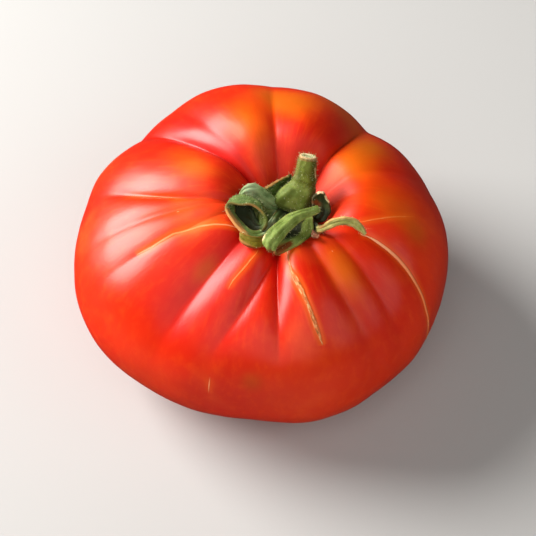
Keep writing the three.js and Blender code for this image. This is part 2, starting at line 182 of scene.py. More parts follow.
# ---------------------------------------------------------------- stalk and calyx, in millimetres
# Calyx plate that the sepals grow from: azimuth, reach
PLATE_REACH = (
    (0, 12), (15, 11.5), (40, 8), (90, 7), (130, 7.5), (160, 8.5), (187, 12.8), (205, 13.9),
    (228, 13.6), (250, 10), (265, 9.5), (280, 11), (297, 11.5), (310, 11), (325, 10.5), (340, 12),
)
PLATE_SIDES = 96
PLATE_RINGS = 40
PLATE_THICKNESS = 0.9
PLATE_GAP = 0.15
PLATE_BOSS_TOP = 50.8
PLATE_BOSS_WIDTH = 4.6
PLATE_RAGGEDNESS = 0.06
PLATE_WRINKLES = 0.35
PLATE_ALONG = 0.3  # the plate is coloured as a leaf is at this share of its length

# Stalk: centre, radius across, radius front to back
STALK = (
    ((2.9, 0.5, 50), 5.2, 2.6), ((3.1, 0.3, 51.4), 5.7, 2.7), ((3.6, 0.1, 52.8), 5.6, 2.85),
    ((4.6, 0.7, 54.2), 4.9, 3), ((5.6, 1.8, 55.6), 4.1, 3.05), ((6.2, 2.8, 57), 3.4, 2.9),
    ((6.6, 3.8, 58.4), 2.95, 2.8), ((6.8, 4.7, 59.9), 2.75, 2.7), ((7, 5.6, 61.5), 2.62, 2.6),
    ((7.3, 6.6, 63.2), 2.3, 2.3),
)
STALK_SIDES = 72
STALK_RINGS = 60
FOOT_RINGS = 4
RIM_RINGS = 4
CUT_RINGS = 14
RIM_DROP = 0.012  # share of the radius that the rim's first ring goes in, and the power of the next
RIM_POWER = 1.6
STALK_FOOT = 0.2  # share of the stalk's length in which its direction doesn't change
KNUCKLE = 0.63  # share of the length at which the stalk's knuckle stands, and the neck below it
NECK = 0.56
KNUCKLE_SWELL = 0.05  # shares of the stalk's radius
NECK_PINCH = 0.03
STALK_RIBS = 0.04
STALK_FINE_RIBS = 0.02
STALK_GRAIN = 0.06
CUT_DOME = 0.3  # height of the cut face above its rim
CUT_GRAIN = 0.14
CUT_MARK = 0.2  # added to "along" on the cut face, which sets it apart from the stalk's side
OFF_CUT = 2.0  # place on the cut face that a point beside it has
# Slit in the pith, in shares of the cut's radius
SLIT_X = -0.1
SLIT_Y = 0.14
SLIT_SLANT = 0.3
SLIT_DEPTH = 0.8

# Sepals: a root inside the stalk's foot, then stations from foot to tip, each with its centre,
# half width and edge lift
SEPALS = {
    "sepal_front_roll": (
        ((4.6, -1.8, 50.6), (1.4, 0.5, 0.4), 0), ((7, -5.8, 52.6), (1.5, 0.3, 0.4), 0.2),
        ((5.8, -9.7, 54.6), (3.1, -0.5, 0.2), 0.5), ((5.3, -13.2, 56), (3.1, -1, -0.2), 0.6),
        ((4.2, -15.3, 56.8), (2.2, -1.5, -0.6), 0.6), ((2.6, -17.3, 57.3), (1.5, -1.6, -0.8), 0.5),
        ((0.7, -19.1, 57.4), (1.1, -1.4, -0.6), 0.5), ((-1.5, -20.9, 57.5), (0.9, -1.2, -0.4), 0.5),
        ((-2.9, -21.3, 58.2), (1.3, -1.1, -0.3), 0.7), ((-3.1, -20.3, 59.3), (1.7, -1.2, -0.5), 0.9),
        ((-2, -18.7, 60.3), (1.7, -1.2, -0.6), 1), ((-0.4, -17.1, 61), (1.5, -1.2, -0.7), 1),
        ((1.4, -15.2, 61.3), (1.3, -1.1, -0.7), 1), ((3.4, -13, 61.2), (1.1, -1, -0.7), 0.9),
        ((5.5, -11.2, 60.6), (0.8, -0.8, -0.6), 0.7), ((7.4, -9.9, 59.8), (0.6, -0.7, -0.6), 0.5),
        ((9.1, -8.6, 59.1), (0.5, -0.7, -0.5), 0.4), ((10.2, -7.6, 58.8), (0.4, -0.5, -0.4), 0.2),
    ),
    "sepal_left_loop": (
        ((1.2, -1, 50.4), (1.4, -1.6, 0), 0), ((-1.6, -8.2, 53.4), (0.9, -1.4, -0.2), 0.1),
        ((-3.8, -13.5, 56.5), (0.6, -1.3, 0), 0.3), ((-6.4, -15.6, 57.3), (0, -1.5, 0.1), 0.3),
        ((-8.5, -15.3, 57.7), (-0.5, -1.4, 0.6), 0.4), ((-10.7, -13.4, 58.2), (-0.9, -1, 1.1), 0.4),
        ((-13.1, -10.1, 59), (-1, -0.8, 1.4), 0.4), ((-13.6, -8.3, 60), (-1.1, -0.9, 1.5), 0.5),
        ((-13, -6.7, 61), (-0.3, -1.7, 1), 0.5), ((-10.7, -6.8, 61.6), (0.1, -2.2, 0.7), 0.5),
        ((-7.6, -7.3, 61.8), (-0.1, -2.1, 0.8), 0.4), ((-5, -8.8, 60.8), (-0.2, -1.7, 0.8), 0.4),
        ((-4.5, -11.1, 59.2), (1.2, -1.3, 1), 0.4), ((-4.8, -12.8, 58), (1.1, -1.4, 0.7), 0.4),
        ((-6.3, -12.2, 57.4), (0.4, -1.8, -2.2), 0.2), ((-8.2, -10.3, 57.4), (0.1, -2.8, -3.2), 0.2),
        ((-10.4, -9.4, 57.9), (0, -2.2, -2.7), 0.2), ((-12, -8.7, 58.4), (0, -0.8, -1.8), 0.1),
    ),
    "sepal_left_arch": (
        ((1.6, 0.4, 50.6), (0.7, 1.4, 0.7), 0), ((-1.7, -1.5, 53), (0.9, 1.1, 1), 0.1),
        ((-3.6, -1.5, 55), (1.1, 1.1, 1), 0.3), ((-5.6, -1, 56.8), (1, 1.2, 1.1), 0.4),
        ((-7.4, -0.7, 58), (0.7, 1.3, 1.1), 0.4), ((-9, -1.2, 58.3), (0.1, 1.3, 1.1), 0.4),
        ((-10.1, -1.6, 57.6), (-0.3, 1, 0.9), 0.3), ((-10.7, -2.4, 56.5), (-0.4, 0.6, 0.5), 0.2),
    ),
    "sepal_back_cup": (
        ((4.5, 3.5, 52), (0, 0.6, 0.9), 0), ((2.8, 6.2, 53.4), (0.1, 1.2, 1.7), -0.3),
        ((1.1, 4.7, 54), (-0.1, 1.4, 1.8), -0.6), ((-0.6, 3.2, 54.6), (-0.2, 1.4, 1.8), -0.9),
        ((-2.3, 1.9, 55.2), (-0.3, 1, 1.5), -0.9), ((-3.5, 1.2, 55.8), (-0.3, 0.5, 0.9), -0.6),
        ((-4.6, 0.8, 56.3), (-0.1, 0.1, 0.2), -0.2),
    ),
    "sepal_right_curl": (
        ((6.4, -1.6, 50.8), (0.6, -0.8, 0), 0), ((9.8, -5.6, 52.2), (1.6, -0.7, -0.6), -0.1),
        ((10.8, -4.2, 53.4), (2.4, -0.5, -0.8), -0.5), ((10.8, -2.6, 54.4), (2.5, -0.2, -0.6), -0.8),
        ((10.6, -1.4, 55.6), (2.1, -0.1, -0.4), -0.8), ((10.6, -1, 56.6), (1.4, 0, -0.2), -0.5),
        ((10.9, -0.7, 57.4), (0.6, 0, 0), -0.2),
    ),
    "sepal_right_arch": (
        ((7, -4, 50.8), (0.6, 0.6, 0.5), 0), ((9.2, -10.8, 54.3), (0.7, 0.5, 0.8), 0.1),
        ((10.5, -12.7, 56.1), (0.5, 0.6, 0.9), 0.3), ((12, -12.9, 57.6), (0.2, 0.7, 0.9), 0.3),
        ((14.2, -12.7, 59), (-0.1, 0.7, 0.9), 0.3), ((16.7, -12.7, 59.7), (-0.1, 0.6, 0.9), 0.3),
        ((19, -13, 59.3), (0.4, 0.7, 0.8), 0.3), ((20.9, -13.9, 58.2), (0.5, 0.5, 0.5), 0.2),
        ((22.3, -15.1, 56.9), (0.3, 0.2, 0.2), 0.1),
    ),
    "sepal_left_flap": (
        ((-2.6, -12.6, 54.4), (0.2, -0.7, -0.2), 0), ((-4.1, -16.6, 56.4), (0.1, -1.2, -0.5), 0),
        ((-5.8, -18, 57.2), (0, -1.4, -0.6), 0.2), ((-7.4, -18.3, 57.7), (0, -1.5, -0.6), 0.3),
        ((-9, -17.9, 58), (0, -1.5, -0.5), 0.3), ((-10.1, -17.2, 58.2), (-0.1, -1.3, -0.4), 0.2),
        ((-10.7, -16.4, 58.3), (-0.1, -0.8, -0.2), 0.1),
    ),
    "sepal_dry_shred": (
        ((7.6, -9.8, 53.8), (0.3, 0.5, 0.3), 0), ((8.4, -13.6, 56.1), (0.4, 0.3, 0.3), 0.1),
        ((9, -15.9, 57.4), (0.5, 0.2, 0.3), 0.2), ((10, -16.4, 57.8), (0.2, 0.3, 0.4), 0.1),
    ),
}
SEPAL_THICKNESS = 0.8
SEPAL_COLUMNS = 16
SEPAL_ROWS_PER_STATION = 6
SEPAL_RAGGEDNESS = 0.12
SEPAL_CRINKLES = 0.3
SEPAL_WRINKLES = 0.16
MIDRIB_DEPTH = 0.24
SIDE_RIB = 0.4  # place across the sepal, from 0 at the midrib to 1 at the edge
SIDE_RIB_HEIGHT = 0.16
SIDE_GROOVE = 0.7
SIDE_GROOVE_DEPTH = 0.1
SEPAL_TIP_START = 0.85  # share of the length from which the relief dies out, and over which
SEPAL_TIP_LENGTH = 0.15
# Among the sepals' marks, "dark" is painted shade, "pale" is partly painted light and dark_olive_and_shade
# is partly painted shade
SEPAL_MARKS = ("edge", "along", "pale", "dark_olive_and_shade", "tan", "brown", "dark", "cream")

# Strip of bark that hangs loose under the cut: stations as for a sepal
PEEL = (
    ((8.6, 4.7, 63), (0.4, 0.1, 0), 0), ((8.9, 4.2, 61.6), (0.35, 0.1, 0), -0.1),
    ((9.1, 3.6, 60.2), (0.3, 0.1, 0), -0.1), ((9.3, 3.1, 58.8), (0.22, 0.1, 0), 0),
    ((9.3, 2.9, 57.8), (0.1, 0, 0), 0),
)
PEEL_THICKNESS = 0.3

HAIR_COUNT = 1500
HAIR_SEED = 5
HAIR_SHORTEST = 0.3
HAIR_LONGEST = 0.9
HAIR_RISE = 0.45  # share of its length that a hair's middle stands off the leaf, so its root is in it
HAIR_ROOT_RADIUS = 0.045
HAIR_TIP_RADIUS = 0.012
# Share of the hairs on each piece, and the height that they start from
HAIRY_PIECES = {
    "stalk": (0.4, 51.5), "sepal_front_roll": (0.18, 52), "sepal_left_loop": (0.16, 59.8),
    "sepal_left_arch": (0.1, 53), "sepal_right_arch": (0.1, 54), "sepal_back_cup": (0.06, 53),
}


# ---------------------------------------------------------------- numbers
def ease(x):
    x = min(max(x, 0.0), 1.0)
    return x * x * (3 - 2 * x)


def mix(a, b, share):
    return a + (b - a) * share


def bell(x, half):
    return math.exp(-((x / half) ** 2))


def turn_between(start, end):
    """Signed angle from start to end, -180 to 180 degrees."""
    return (end - start + 180) % 360 - 180


def crowded(count, span, zones):
    """count + 1 values from 0 to span, closer together around each (middle, half width, boost)."""
    steps = 4000
    places = np.linspace(0, span, steps + 1)
    density = np.ones_like(places)
    for middle, half, boost in zones:
        density += boost * np.exp(-(((places - middle) / half) ** 2))
    total = np.concatenate([[0], np.cumsum((density[1:] + density[:-1]) / 2)])
    return np.interp(np.linspace(0, total[-1], count + 1), total, places)


def through(points, along):
    """Point of a smooth curve through points (tuples of equal length), along from 0 to 1."""
    last = len(points) - 1
    place = min(max(along, 0.0), 1.0) * last
    index = min(int(place), last - 1)
    way = place - index
    start, end = points[index], points[index + 1]
    before = points[index - 1] if index > 0 else [2 * p - q for p, q in zip(start, end)]
    after = points[index + 2] if index + 2 <= last else [2 * q - p for p, q in zip(start, end)]
    return Vector([
        0.5 * (2 * q + (r - p) * way + (2 * p - 5 * q + 4 * r - s) * way * way
               + (3 * q - p - 3 * r + s) * way ** 3)
        for p, q, r, s in zip(before, start, end, after)
    ])


def around(table, azimuth, column):
    """Value in a table's column at an azimuth, its first column, on a smooth curve through the rows."""
    after = next((index for index, row in enumerate(table) if row[0] > azimuth), 0)
    rows = [table[(after + step) % len(table)] for step in (-2, -1, 0, 1)]
    gaps = [(rows[i + 1][0] - rows[i][0]) % 360 for i in range(3)]
    slopes = [(rows[i + 2][column] - rows[i][column]) / (gaps[i] + gaps[i + 1]) for i in range(2)]
    way = (azimuth - rows[1][0]) % 360 / gaps[1]
    swing = way * (1 - way) * gaps[1] * (slopes[0] * (1 - way) - slopes[1] * way)
    return mix(rows[1][column], rows[2][column], ease(way)) + swing


# ---------------------------------------------------------------- meshes
def finish_mesh(bm, name):
    """Turns a bmesh into a smooth object at the origin."""
    mesh = bpy.data.meshes.new(name)
    for face in bm.faces:
        face.smooth = True
    bm.to_mesh(mesh)
    bm.free()
    thing = bpy.data.objects.new(name, mesh)
    bpy.context.scene.collection.objects.link(thing)
    return thing


def mark_layers(bm, names):
    """Named numbers that every vertex carries for the piece's material."""
    return {name: bm.verts.layers.float.new(name) for name in names}


def set_marks(vert, layers, values):
    for layer, value in zip(layers.values(), values):
        vert[layer] = value


# ---------------------------------------------------------------- fruit
def valley_depth(azimuth, down, reach):
    """How far the valleys draw the skin in, and how deep in a valley the point lies (0 to 1), which sets
    the painted shade in the valley.
    """
    total = 0
    valley_shade = 0
    opening = ease(reach / VALLEY_OPEN)
    underneath = 1 - UNDERSIDE_CALMING * ease((down - UNDERSIDE_START) / UNDERSIDE_FADE)
    crease_share = ease(reach / CREASE_OPEN) * (1 - ease((down - CREASE_END) / CREASE_FADE))
    for middle, drift, depth, width, crease, crease_width, girdle, fade in VALLEYS:
        off = abs(turn_between(middle + drift * (reach - VALLEY_PLACED), azimuth))
        if off > VALLEY_WIDTHS * width:
            continue
        soft = math.hypot(off, VALLEY_ROUNDING) - VALLEY_ROUNDING
        sharp = math.hypot(off, CREASE_ROUNDING) - CREASE_ROUNDING
        bowl = VALLEY_SHARPNESS * math.exp(-soft / width) + (1 - VALLEY_SHARPNESS) * bell(off, 2 * width)
        held = opening * (1 - (1 - girdle) * ease((down - fade) / VALLEY_FADE)) * underneath
        total += depth * held * bowl + crease * crease_share * math.exp(-sharp / crease_width)
        valley_shade += depth / FULL_VALLEY_SHADE * held * bell(off, width)
    return total, min(valley_shade, 1.0)


def skin_point(azimuth, down):
    """Point of the plain skin, and how deep in a valley it lies, which sets the painted valley shade."""
    slope = max(math.sin(math.pi * down), 0)
    rise = math.cos(math.pi * down)
    above = rise >= 0
    power = 2 / (TOP_FULLNESS if above else BASE_FULLNESS)
    plump = abs(rise) ** power
    radius = around(LOBES, azimuth, 1) * slope ** power
    height = WIDEST_HEIGHT * (1 - BASE_PRESS * plump)
    unit = Vector((math.cos(math.radians(azimuth)), math.sin(math.radians(azimuth)), 0))
    if above:
        shoulder = mix(SHOULDER_HEIGHT, around(LOBES, azimuth, 2), ease(radius / CAVITY_FLOOR_RADIUS))
        height = WIDEST_HEIGHT + (shoulder - WIDEST_HEIGHT) * plump
        off = math.hypot(radius * unit.x - CAVITY_CENTRE[0], radius * unit.y - CAVITY_CENTRE[1])
        height -= CAVITY_DEPTH * math.exp(-((off / CAVITY_RADIUS) ** CAVITY_STEEPNESS))
    depth, valley_shade = valley_depth(azimuth, down, radius / MEAN_RADIUS)
    radius -= depth * slope
    height = max(height - depth * rise, 0)
    if not above:
        height += SCAR_DEPTH * math.exp(-((radius / SCAR_RADIUS) ** 4))
    return Vector((radius * unit.x, radius * unit.y, height)), valley_shade


def nearest_crack(azimuth, down, radius):
    """Kind, signed offset, half width, run and paleness of the nearest crack, in millimetres."""
    best = ("none", CRACK_REACH, 0.0, 0.0, 0.0)
    for kind, stations in CRACKS:
        downs, middles, halves, paleness = zip(*stations)
        first, last = downs[0] - CRACK_TAPER, downs[-1] + CRACK_TAPER
        if not first < down < last:
            continue
        middle = float(np.interp(down, downs, middles))
        step = 0.006
        above, below = np.interp((down - step, down + step), downs, middles)
        slant = math.radians(float((below - above) / (2 * step))) * radius / ARC_PER_DOWN
        off = math.radians(turn_between(middle, azimuth)) * radius / math.hypot(1, slant)
        if abs(off) < abs(best[1]):
            ends = ease((down - first) / CRACK_TAPER) * ease((last - down) / CRACK_TAPER)
            half = float(np.interp(down, downs, halves)) * ends
            best = (kind, off, half, down * ARC_PER_DOWN, float(np.interp(down, downs, paleness)))
    return best


def crack_relief(kind, off, half, run):
    """Height of a healed crack above the skin, with a shallow groove along either side."""
    if half <= 0 or abs(off) > 3 * half + GROOVE_REACH:
        return 0
    cork, _, _, height = CRACK_KINDS[kind]
    share = off / half
    if cork:
        fibres = noise.noise(Vector((off * 2.4, run * 0.7, 0))) * CORK_FIBRES
        return bell(share, 1.1) * (height + fibres) - CORK_GROOVE * bell(abs(off) - 1.5 * half, 0.3)
    return height * max(1 - share * share, 0) - LINE_GROOVE * height * bell(abs(off) - 1.4 * half, 0.22)


def ripeness(azimuth, down):
    """How orange and how olive the skin is, from the patches that ripened late."""
    orange = 0
    olive = 0
    for middle, centre, wide, long, more_orange, more_olive in PATCHES:
        off = turn_between(middle, azimuth) / wide
        along = (down - centre) / long
        share = math.exp(-(off * off + along * along) / PATCH_SPREAD)
        orange += share * more_orange
        olive += share * more_olive
    return min(orange, 1.0), min(olive, 1.0)


def skin_lumps(place):
    """Height of the skin's unevenness, which dies out at the stalk and at the resting spot."""
    broad = noise.noise(place * 0.07) * BROAD_LUMPS
    small = noise.noise(place * 0.17 + Vector((9, 3, 1))) * SMALL_LUMPS
    outside = ease(math.hypot(place.x, place.y) / CAVITY_FLOOR_RADIUS)
    return (broad + small) * outside * ease((place.z - RESTING_HEIGHT) / RESTING_FADE)


def build_fruit():
    """The fruit as a grid bent round into a closed skin; returns it and the stalk axis in the frame."""
    columns = crowded(COLUMNS, 360, CROWDED_AZIMUTHS)
    rows = crowded(ROWS, 1, CROWDED_DOWNS)
    bm = bmesh.new()
    bmesh.ops.create_grid(bm, x_segments=COLUMNS, y_segments=ROWS, size=0.5)
    layers = mark_layers(bm, SKIN_MARKS)
    for vert in bm.verts:
        azimuth = float(columns[round((vert.co.x + 0.5) * COLUMNS)]) % 360
        down = float(rows[round((0.5 - vert.co.y) * ROWS)])
        place, valley_shade = skin_point(azimuth, down)
        outward = Vector((place.x, place.y, place.z - WIDEST_HEIGHT)).normalized()
        kind, off, half, run, pale = nearest_crack(azimuth, down, math.hypot(place.x, place.y))
        near = 1 - ease(abs(off) - CRACK_SURROUND)
        cork, rim, halo, _ = CRACK_KINDS.get(kind, (0, 0, 0, 0))
        orange, olive = ripeness(azimuth, down)
        set_marks(vert, layers, (valley_shade, orange, olive, off, half * near, run, near, cork, pale, rim,
                                 halo, down))
        place += outward * (skin_lumps(place) + crack_relief(kind, off, half, run))
        vert.co = place * MM
    bmesh.ops.remove_doubles(bm, verts=bm.verts, dist=WELD * MM)
    bmesh.ops.recalc_face_normals(bm, faces=bm.faces)
    low = Vector([min(v.co[i] for v in bm.verts) for i in range(3)])
    high = Vector([max(v.co[i] for v in bm.verts) for i in range(3)])
    box_low, box_high = (Vector(corner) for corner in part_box("fruit"))
    axis = (box_low + box_high - low - high) / 2
    axis.z = 0
    bmesh.ops.translate(bm, verts=bm.verts, vec=axis)
    return finish_mesh(bm, "tomato_skin"), axis


# ---------------------------------------------------------------- calyx plate
def build_plate(axis):
    """A ball flattened onto the floor of the stalk cavity, swelling under the stalk's foot."""
    bm = bmesh.new()
    bmesh.ops.create_uvsphere(bm, u_segments=PLATE_SIDES, v_segments=PLATE_RINGS, radius=1)
    layers = mark_layers(bm, ("edge", "along"))
    foot = STALK[0][0]
    for vert in bm.verts:
        share = min(math.hypot(vert.co.x, vert.co.y), 1.0)
        azimuth = math.degrees(math.atan2(vert.co.y, vert.co.x)) % 360
        turn = math.radians(azimuth)
        ragged = 1 + PLATE_RAGGEDNESS * noise.noise(Vector((math.sin(turn) * 4, math.cos(turn) * 4, 7)))
        reach = share * around(PLATE_REACH, azimuth, 1) * ragged
        down = math.asin((reach / around(LOBES, azimuth, 1)) ** (TOP_FULLNESS / 2)) / math.pi
        place, _ = skin_point(azimuth, down)
        off = math.hypot(place.x - foot[0], place.y - foot[1])
        swell = (PLATE_BOSS_TOP - place.z) * bell(off, PLATE_BOSS_WIDTH)
        wrinkle = PLATE_WRINKLES * noise.noise(Vector((place.x * 0.5, place.y * 0.5, 3)))
        wrinkle *= ease(share * 2)
        upper = math.sqrt(max(vert.co.z, 0))
        place.z += PLATE_GAP + (max(PLATE_THICKNESS, swell) + wrinkle) * upper
        set_marks(vert, layers, (share, PLATE_ALONG))
        vert.co = place * MM + axis
    bmesh.ops.recalc_face_normals(bm, faces=bm.faces)
    return finish_mesh(bm, "calyx_plate_leaf")


# ---------------------------------------------------------------- stalk
def stalk_frame(along):
    """The stalk's centre, its side and back vectors as long as its radii, and its direction."""
    line = [station[0] for station in STALK]
    radii = through([(across, deep) for _, across, deep in STALK], along)
    step = 0.01
    place = max(along, STALK_FOOT)
    ahead = through(line, place + step) - through(line, place - step)
    ahead.normalize()
    ahead = mix(Vector((0, 0, 1)), ahead, ease(along * 3)).normalized()
    side = Vector((0, 1, 0)).cross(ahead).normalized()
    return through(line, along), side * radii[0], ahead.cross(side) * radii[1], ahead


def stalk_rings():
    """Each ring's place along the stalk and share of its radius, in at the foot and over the cut face."""
    rings = [(0.0, n / FOOT_RINGS) for n in range(FOOT_RINGS)]
    rings += [(n / STALK_RINGS, 1.0) for n in range(STALK_RINGS + 1)]
    rings += [(1.0, 1 - RIM_DROP * (n + 1) ** RIM_POWER) for n in range(RIM_RINGS)]
    inner = rings[-1][1]
    rings += [(1.0, inner * (1 - (n + 1) / CUT_RINGS)) for n in range(CUT_RINGS)]
    return rings, inner


def stalk_size(along, angle):
    """The stalk's radius as a share of the plain one, with its ribs, grain, knuckle and neck."""
    ribs = STALK_RIBS * math.cos(5 * angle + 0.6) + STALK_FINE_RIBS * math.cos(11 * angle + 2)
    ribs *= 1 - 0.6 * ease(along)
    grain = STALK_GRAIN * noise.noise(Vector((math.cos(angle) * 2.5, math.sin(angle) * 2.5, along * 8)))
    knuckle = KNUCKLE_SWELL * bell(along - KNUCKLE, 0.045) - NECK_PINCH * bell(along - NECK, 0.03)
    return 1 + ribs + grain + knuckle


def cut_height(x, y, share, inner):
    """Height of the cut face: a rounded rim, a sunken slit in the pith, and the cut's grain."""
    fall = math.sqrt(max(1 - ((share - inner) / (1 - inner)) ** 2, 0)) if share > inner else 1
    slit = bell(x - SLIT_X + SLIT_SLANT * y, 0.4) * bell(y - SLIT_Y, 0.25)
    height = CUT_DOME * fall - SLIT_DEPTH * slit * ease((inner - share) * 8)
    return height + CUT_GRAIN * noise.noise(Vector((x * 5, y * 5, 2)))


def build_stalk(axis):
    """A grid bent round the stalk's centre line, closed at the foot and over the cut face."""
    rings, inner = stalk_rings()
    last = len(rings) - 1
    bm = bmesh.new()
    bmesh.ops.create_grid(bm, x_segments=STALK_SIDES, y_segments=last, size=0.5)
    layers = mark_layers(bm, ("along", "cut_x", "cut_y", "turn_x", "turn_y"))
    for vert in bm.verts:
        row = round((vert.co.y + 0.5) * last)
        along, share = rings[row]
        angle = (vert.co.x + 0.5) * 2 * math.pi
        cosine, sine = math.cos(angle), math.sin(angle)
        centre, side, back, up = stalk_frame(along)
        vert.co = centre + (side * cosine + back * sine) * (share * stalk_size(along, angle))
        if row < FOOT_RINGS + STALK_RINGS:
            set_marks(vert, layers, (along, OFF_CUT, OFF_CUT, cosine, sine))
        else:
            x, y = share * cosine, share * sine
            vert.co += up * cut_height(x, y, share, inner)
            set_marks(vert, layers, (along + CUT_MARK, x, y, cosine, sine))
    bmesh.ops.remove_doubles(bm, verts=bm.verts, dist=STALK_WELD)
    bmesh.ops.recalc_face_normals(bm, faces=bm.faces)
    for vert in bm.verts:
        vert.co = vert.co * MM + axis
    return finish_mesh(bm, "tomato_stalk")


# ---------------------------------------------------------------- sepals
def sepal_place(stations, along, across):
    """Point and up direction of a sepal's middle sheet."""
    centres, widths, lifts = zip(*stations)
    step = 0.004
    ahead = through(centres, along + step) - through(centres, along - step)
    width = through(widths, along)
    up = ahead.cross(width).normalized()
    lift = through([(height, 0) for height in lifts], along)[0]
    return through(centres, along) + width * across + up * lift * across * across, up


def sepal_relief(along, across, seed):
    """Height of a sepal's crinkles, fine wrinkles, midrib and side ribs above its middle sheet."""
    side = abs(across)
    crinkle = SEPAL_CRINKLES * noise.noise(Vector((across * 1.3 + seed * 3, along * 9, 4)))
    crinkle *= 0.3 + 0.7 * side
    fine = SEPAL_WRINKLES * noise.noise(Vector((across * 4 + seed, along * 30, 9)))
    ribs = SIDE_RIB_HEIGHT * bell(side - SIDE_RIB, 0.14) - MIDRIB_DEPTH * bell(across, 0.12)
    ribs -= SIDE_GROOVE_DEPTH * bell(side - SIDE_GROOVE, 0.08)
    return crinkle + fine + ribs


def build_sepal(name, stations, axis, seed, spots=(), thickness=SEPAL_THICKNESS, crumple=1.0):
    """A grid bent through the sepal's stations, with its midrib, veins, spots and uneven edge."""
    rows = (len(stations) - 1) * SEPAL_ROWS_PER_STATION
    bm = bmesh.new()
    bmesh.ops.create_grid(bm, x_segments=SEPAL_COLUMNS, y_segments=rows, size=0.5)
    layers = mark_layers(bm, SEPAL_MARKS)
    for vert in bm.verts:
        across = vert.co.x * 2
        along = vert.co.y + 0.5
        ragged = 1 + SEPAL_RAGGEDNESS * noise.noise(Vector((along * 14 + seed, across, seed)))
        place, up = sepal_place(stations, along, across * ragged)
        fade = 1 - ease((along - SEPAL_TIP_START) / SEPAL_TIP_LENGTH)
        place += up * crumple * sepal_relief(along, across, seed) * fade
        marks = dict.fromkeys(SEPAL_MARKS, 0)
        marks.update(edge=abs(across), along=along)
        for tint, middle, side, long, wide, strength in spots:
            marks[tint] += strength * bell(along - middle, long) * bell(across - side, wide)
        set_marks(vert, layers, [min(value, 1) for value in marks.values()])
        vert.co = place * MM + axis
    piece = finish_mesh(bm, name)
    wall = piece.modifiers.new("thickness", "SOLIDIFY")
    wall.thickness = thickness * MM
    wall.offset = 0
    smooth = piece.modifiers.new("smoothing", "SUBSURF")
    smooth.levels = 1
    smooth.render_levels = 1
    return piece


# ---------------------------------------------------------------- hairs
def build_hairs(pieces):
    """Fine hairs standing on the green pieces, each a slender three-sided cone."""
    draw = random.Random(HAIR_SEED)
    graph = bpy.context.evaluated_depsgraph_get()
    bm = bmesh.new()
    for name, (share, lowest) in HAIRY_PIECES.items():
        solid = pieces[name].evaluated_get(graph)
        mesh = solid.to_mesh()
        places = [vert for vert in mesh.vertices if vert.co.z > lowest * MM]
        for _ in range(round(HAIR_COUNT * share)):
            vert = draw.choice(places)
            lean = Vector((draw.uniform(-0.5, 0.5), draw.uniform(-0.5, 0.5), draw.uniform(-0.3, 0.5)))
            aim = (vert.normal + lean).normalized()
            length = draw.uniform(HAIR_SHORTEST, HAIR_LONGEST) * MM
            turn = aim.to_track_quat("Z", "Y").to_matrix().to_4x4()
            middle = vert.co + aim * length * HAIR_RISE
            bmesh.ops.create_cone(bm, cap_ends=True, segments=3, radius1=HAIR_ROOT_RADIUS * MM,
                                  radius2=HAIR_TIP_RADIUS * MM, depth=length,
                                  matrix=Matrix.Translation(middle) @ turn)
        solid.to_mesh_clear()
    return finish_mesh(bm, "calyx_hairs")


# ---------------------------------------------------------------- node helpers
# The Mix node's colour sockets
MIX_SHARE = 0
MIX_A = 6
MIX_B = 7
MIX_RESULT = 2
BUMP_DEPTH = 0.0003  # metres


def node(tree, kind, inputs=None, **settings):
    """Adds a node, sets it up, and fills or joins its inputs by name or number."""
    made = tree.nodes.new(kind)
    for key, value in settings.items():
        setattr(made, key, value)
    for key, value in (inputs or {}).items():
        if isinstance(value, bpy.types.NodeSocket):
            tree.links.new(value, made.inputs[key])
        else:
            made.inputs[key].default_value = value
    return made


def maths(tree, operation, a, b=0.0):
    return node(tree, "ShaderNodeMath", {0: a, 1: b}, operation=operation).outputs[0]


def product(tree, *values):
    """The values multiplied one after the other."""
    result = values[0]
    for value in values[1:]:
        result = maths(tree, "MULTIPLY", result, value)
    return result


def total(tree, *values):
    """The values added one after the other."""
    result = values[0]
    for value in values[1:]:
        result = maths(tree, "ADD", result, value)
    return result


def between(tree, value, low, high):
    """0 below low, 1 above high, eased."""
    made = node(tree, "ShaderNodeMapRange", {"Value": value, "From Min": low, "From Max": high},
                interpolation_type="SMOOTHSTEP")
    return made.outputs["Result"]


def swing(tree, value, amount):
    """How far a value of 0 to 1 lies from its middle, times the amount."""
    return product(tree, maths(tree, "SUBTRACT", value, 0.5), amount)


def blend_colour(tree, share, a, b):
    """Colour a where share is 0 and b where it is 1."""
    made = node(tree, "ShaderNodeMix", {MIX_SHARE: share, MIX_A: a, MIX_B: b}, data_type="RGBA")
    return made.outputs[MIX_RESULT]


def paint(tree, colour, over, *shares):
    """The colour with screen colour over laid on it, by the product of the shares."""
    return blend_colour(tree, product(tree, *shares), colour, srgb(over))


def patchy(tree, pattern, dark, light, low=0.35, high=0.65):
    """Screen colour dark where the pattern is low, light where it is high."""
    return blend_colour(tree, between(tree, pattern, low, high), srgb(dark), srgb(light))


def attribute(tree, name):
    return node(tree, "ShaderNodeAttribute", attribute_name=name).outputs["Fac"]


def object_place(tree):
    return node(tree, "ShaderNodeTexCoord").outputs["Object"]


def noise_value(tree, vector, scale, detail=2.0, roughness=0.5):
    made = node(tree, "ShaderNodeTexNoise", {"Vector": vector, "Scale": scale, "Detail": detail,
                                             "Roughness": roughness})
    return made.outputs["Fac"]


def new_material(name, **constants):
    """A material with its Principled shader, and constants set on the shader's own sockets."""
    material = bpy.data.materials.new(name)
    material.use_nodes = True
    shader = material.node_tree.nodes["Principled BSDF"]
    for key, value in constants.items():
        shader.inputs[key.replace("_", " ").title().replace("Ior", "IOR")].default_value = value
    return material, material.node_tree, shader


def add_bump(tree, shader, height, strength):
    bump = node(tree, "ShaderNodeBump", {"Height": height, "Strength": strength, "Distance": BUMP_DEPTH})
    tree.links.new(bump.outputs[0], shader.inputs["Normal"])


